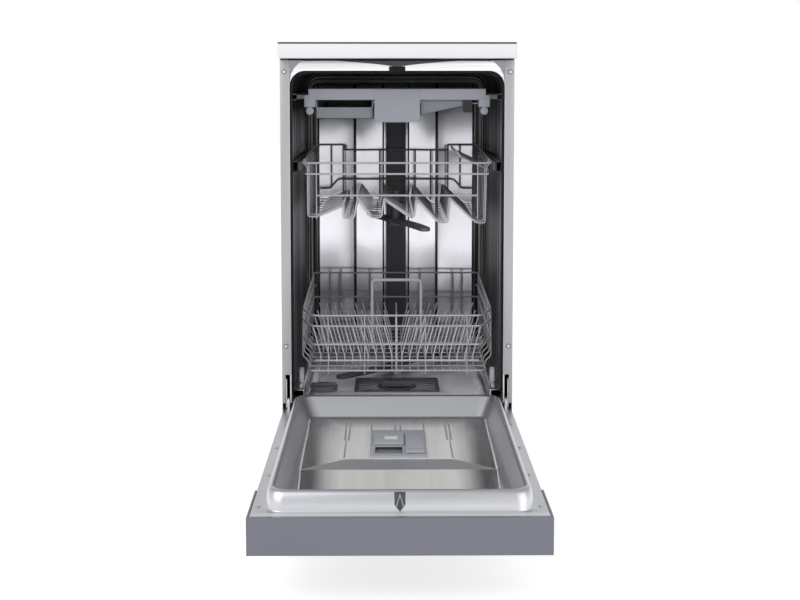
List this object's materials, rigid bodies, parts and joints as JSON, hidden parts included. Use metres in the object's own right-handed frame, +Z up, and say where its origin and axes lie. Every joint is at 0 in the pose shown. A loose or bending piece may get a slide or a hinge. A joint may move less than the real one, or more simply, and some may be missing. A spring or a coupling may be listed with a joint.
{
  "type": "dishwasher",
  "caption": "Slimline free-standing dishwasher with its door open, two wire racks, a cutlery tray, spray arms, a dispenser in the door and a handle pocket in the console.",
  "frame": {"origin": "on the floor, under the middle of the machine with its door open", "axes": "+X to the right seen from the front, +Y to the rear, +Z up"},
  "size_m": [0.448, 1.191, 0.845],
  "materials": {
    "worktop_board": "white laminated board, satin",
    "worktop_laminate": "dark laminate, fine grain",
    "cabinet_paint": "silver-grey lacquer, satin",
    "zinc_sheet": "galvanised sheet",
    "tub_steel": "stainless sheet, brushed",
    "seal_rubber": "black sealing rubber",
    "dark_plastic": "dark moulded plastic",
    "grey_plastic": "grey moulded plastic",
    "dispenser_plastic": "blue-grey moulded plastic",
    "console_paint": "silver-blue moulded console",
    "base_plastic": "black base moulding",
    "coated_wire": "steel wire with a grey coat",
    "window_glass": "smoked window",
    "board_green": "circuit board",
    "pump_metal": "cast housing",
    "zinc_steel": "zinc-plated steel"
  },
  "bodies": {
    "cabinet": {"worktop_board": "worktop_board", "worktop_laminate": "worktop_laminate", "left_side_panel": "cabinet_paint", "right_side_panel": "cabinet_paint", "rear_panel": "zinc_sheet", "rear_cover": "zinc_sheet", "base_tray": "base_plastic", "plinth": "base_plastic", "cabinet_screws": "zinc_steel", "tub_wrapper": "tub_steel", "tub_front_frame": "tub_steel", "tub_back_panel": "tub_steel", "tub_floor": "tub_steel", "door_seal": "seal_rubber", "latch_strike": "dark_plastic", "spray_column": "dark_plastic", "sump": "grey_plastic", "circulation_pump": "pump_metal", "drain_pump": "pump_metal", "flat_filter": "dark_plastic", "softener": "grey_plastic", "inlet_valve": "dark_plastic", "drain_spigot": "dark_plastic", "cable_gland": "dark_plastic", "hinge_brackets": "zinc_steel", "rack_guides": "grey_plastic"},
    "door": {"door_liner": "tub_steel", "door_outer_panel": "cabinet_paint", "console": "console_paint", "display_window": "window_glass", "control_board": "board_green", "hinge_arms": "zinc_steel", "latch_plate": "dark_plastic", "door_screws": "zinc_steel", "dispenser_body": "dispenser_plastic"},
    "upper_rack": {"upper_basket": "coated_wire", "upper_rails": "grey_plastic", "feed_pipe": "dark_plastic"},
    "lower_rack": {"lower_basket": "coated_wire"},
    "cutlery_rack": {"cutlery_tray": "grey_plastic"},
    "front_left_foot": {"front_left_foot": "base_plastic"},
    "front_right_foot": {"front_right_foot": "base_plastic"},
    "rear_left_foot": {"rear_left_foot": "base_plastic"},
    "rear_right_foot": {"rear_right_foot": "base_plastic"},
    "filter_cup": {"filter_cup": "dark_plastic"},
    "salt_cap": {"salt_cap": "dark_plastic"},
    "power_button": {"power_button": "console_paint"},
    "program_button": {"program_button": "console_paint"},
    "start_button": {"start_button": "console_paint"},
    "detergent_lid": {"detergent_lid": "dispenser_plastic"},
    "rinse_aid_lid": {"rinse_aid_lid": "dispenser_plastic"},
    "cup_shelf": {"cup_shelf": "coated_wire"},
    "lower_spray_arm": {"lower_spray_arm": "dark_plastic"},
    "upper_spray_arm": {"upper_spray_arm": "dark_plastic"},
    "front_left_wheel": {"front_left_wheel": "grey_plastic"},
    "front_right_wheel": {"front_right_wheel": "grey_plastic"},
    "rear_left_wheel": {"rear_left_wheel": "grey_plastic"},
    "rear_right_wheel": {"rear_right_wheel": "grey_plastic"},
    "front_tine_row": {"front_tine_row": "coated_wire"},
    "rear_tine_row": {"rear_tine_row": "coated_wire"}
  },
  "joints": [
    {"name": "door_hinge", "type": "hinge", "parent": "cabinet", "child": "door", "pos_m": [0, 0.0635, 0.151], "axis": [1, 0, 0], "range_deg": [-90, 0]},
    {"name": "lower_rack_slide", "type": "slide", "parent": "cabinet", "child": "lower_rack", "axis": [0, -1, 0], "range_m": [0, 0.45]},
    {"name": "upper_rack_slide", "type": "slide", "parent": "cabinet", "child": "upper_rack", "axis": [0, -1, 0], "range_m": [0, 0.4]},
    {"name": "cutlery_rack_slide", "type": "slide", "parent": "cabinet", "child": "cutlery_rack", "axis": [0, -1, 0], "range_m": [0, 0.35]},
    {"name": "lower_spray_arm_spin", "type": "hinge", "parent": "cabinet", "child": "lower_spray_arm", "pos_m": [0, 0.3195, 0.168], "axis": [0, 0, 1], "continuous": true},
    {"name": "upper_spray_arm_spin", "type": "hinge", "parent": "upper_rack", "child": "upper_spray_arm", "pos_m": [0, 0.3325, 0.482], "axis": [0, 0, 1], "continuous": true},
    {"name": "detergent_lid_slide", "type": "slide", "parent": "door", "child": "detergent_lid", "axis": [0, -1, 0], "range_m": [0, 0.051]},
    {"name": "rinse_aid_lid_hinge", "type": "hinge", "parent": "door", "child": "rinse_aid_lid", "pos_m": [0, -0.1205, 0.1364], "axis": [1, 0, 0], "range_deg": [-90, 0]},
    {"name": "salt_cap_turn", "type": "hinge", "parent": "cabinet", "child": "salt_cap", "pos_m": [-0.148, 0.1695, 0.156], "axis": [0, 0, 1], "range_deg": [0, 90]},
    {"name": "filter_cup_turn", "type": "hinge", "parent": "cabinet", "child": "filter_cup", "pos_m": [0, 0.1925, 0.152], "axis": [0, 0, 1], "range_deg": [0, 90]},
    {"name": "cup_shelf_hinge", "type": "hinge", "parent": "upper_rack", "child": "cup_shelf", "pos_m": [0.1796, 0.335, 0.598], "axis": [0, 1, 0], "range_deg": [0, 60]},
    {"name": "front_tine_row_hinge", "type": "hinge", "parent": "lower_rack", "child": "front_tine_row", "pos_m": [0, 0.1825, 0.2079], "axis": [-1, 0, 0], "range_deg": [0, 80]},
    {"name": "rear_tine_row_hinge", "type": "hinge", "parent": "lower_rack", "child": "rear_tine_row", "pos_m": [0, 0.3625, 0.2079], "axis": [-1, 0, 0], "range_deg": [0, 80]},
    {"name": "power_button_press", "type": "slide", "parent": "door", "child": "power_button", "axis": [0, 0, 1], "range_m": [0, 0.0015], "stiffness_N_per_m": 400},
    {"name": "program_button_press", "type": "slide", "parent": "door", "child": "program_button", "axis": [0, 0, 1], "range_m": [0, 0.0015], "stiffness_N_per_m": 400},
    {"name": "start_button_press", "type": "slide", "parent": "door", "child": "start_button", "axis": [0, 0, 1], "range_m": [0, 0.0015], "stiffness_N_per_m": 400},
    {"name": "front_left_wheel_spin", "type": "hinge", "parent": "lower_rack", "child": "front_left_wheel", "pos_m": [-0.1914, 0.1575, 0.1843], "axis": [1, 0, 0], "continuous": true},
    {"name": "front_right_wheel_spin", "type": "hinge", "parent": "lower_rack", "child": "front_right_wheel", "pos_m": [0.1914, 0.1575, 0.1843], "axis": [1, 0, 0], "continuous": true},
    {"name": "rear_left_wheel_spin", "type": "hinge", "parent": "lower_rack", "child": "rear_left_wheel", "pos_m": [-0.1914, 0.4875, 0.1843], "axis": [1, 0, 0], "continuous": true},
    {"name": "rear_right_wheel_spin", "type": "hinge", "parent": "lower_rack", "child": "rear_right_wheel", "pos_m": [0.1914, 0.4875, 0.1843], "axis": [1, 0, 0], "continuous": true},
    {"name": "front_left_foot_screw", "type": "slide", "parent": "cabinet", "child": "front_left_foot", "axis": [0, 0, -1], "range_m": [0, 0.025]},
    {"name": "front_right_foot_screw", "type": "slide", "parent": "cabinet", "child": "front_right_foot", "axis": [0, 0, -1], "range_m": [0, 0.025]},
    {"name": "rear_left_foot_screw", "type": "slide", "parent": "cabinet", "child": "rear_left_foot", "axis": [0, 0, -1], "range_m": [0, 0.025]},
    {"name": "rear_right_foot_screw", "type": "slide", "parent": "cabinet", "child": "rear_right_foot", "axis": [0, 0, -1], "range_m": [0, 0.025]}
  ],
  "couplings": [
    {"joint": "front_left_wheel_spin", "follows": "lower_rack_slide", "rad_per_m": 66.667},
    {"joint": "front_right_wheel_spin", "follows": "lower_rack_slide", "rad_per_m": 66.667},
    {"joint": "rear_left_wheel_spin", "follows": "lower_rack_slide", "rad_per_m": 66.667},
    {"joint": "rear_right_wheel_spin", "follows": "lower_rack_slide", "rad_per_m": 66.667}
  ]
}
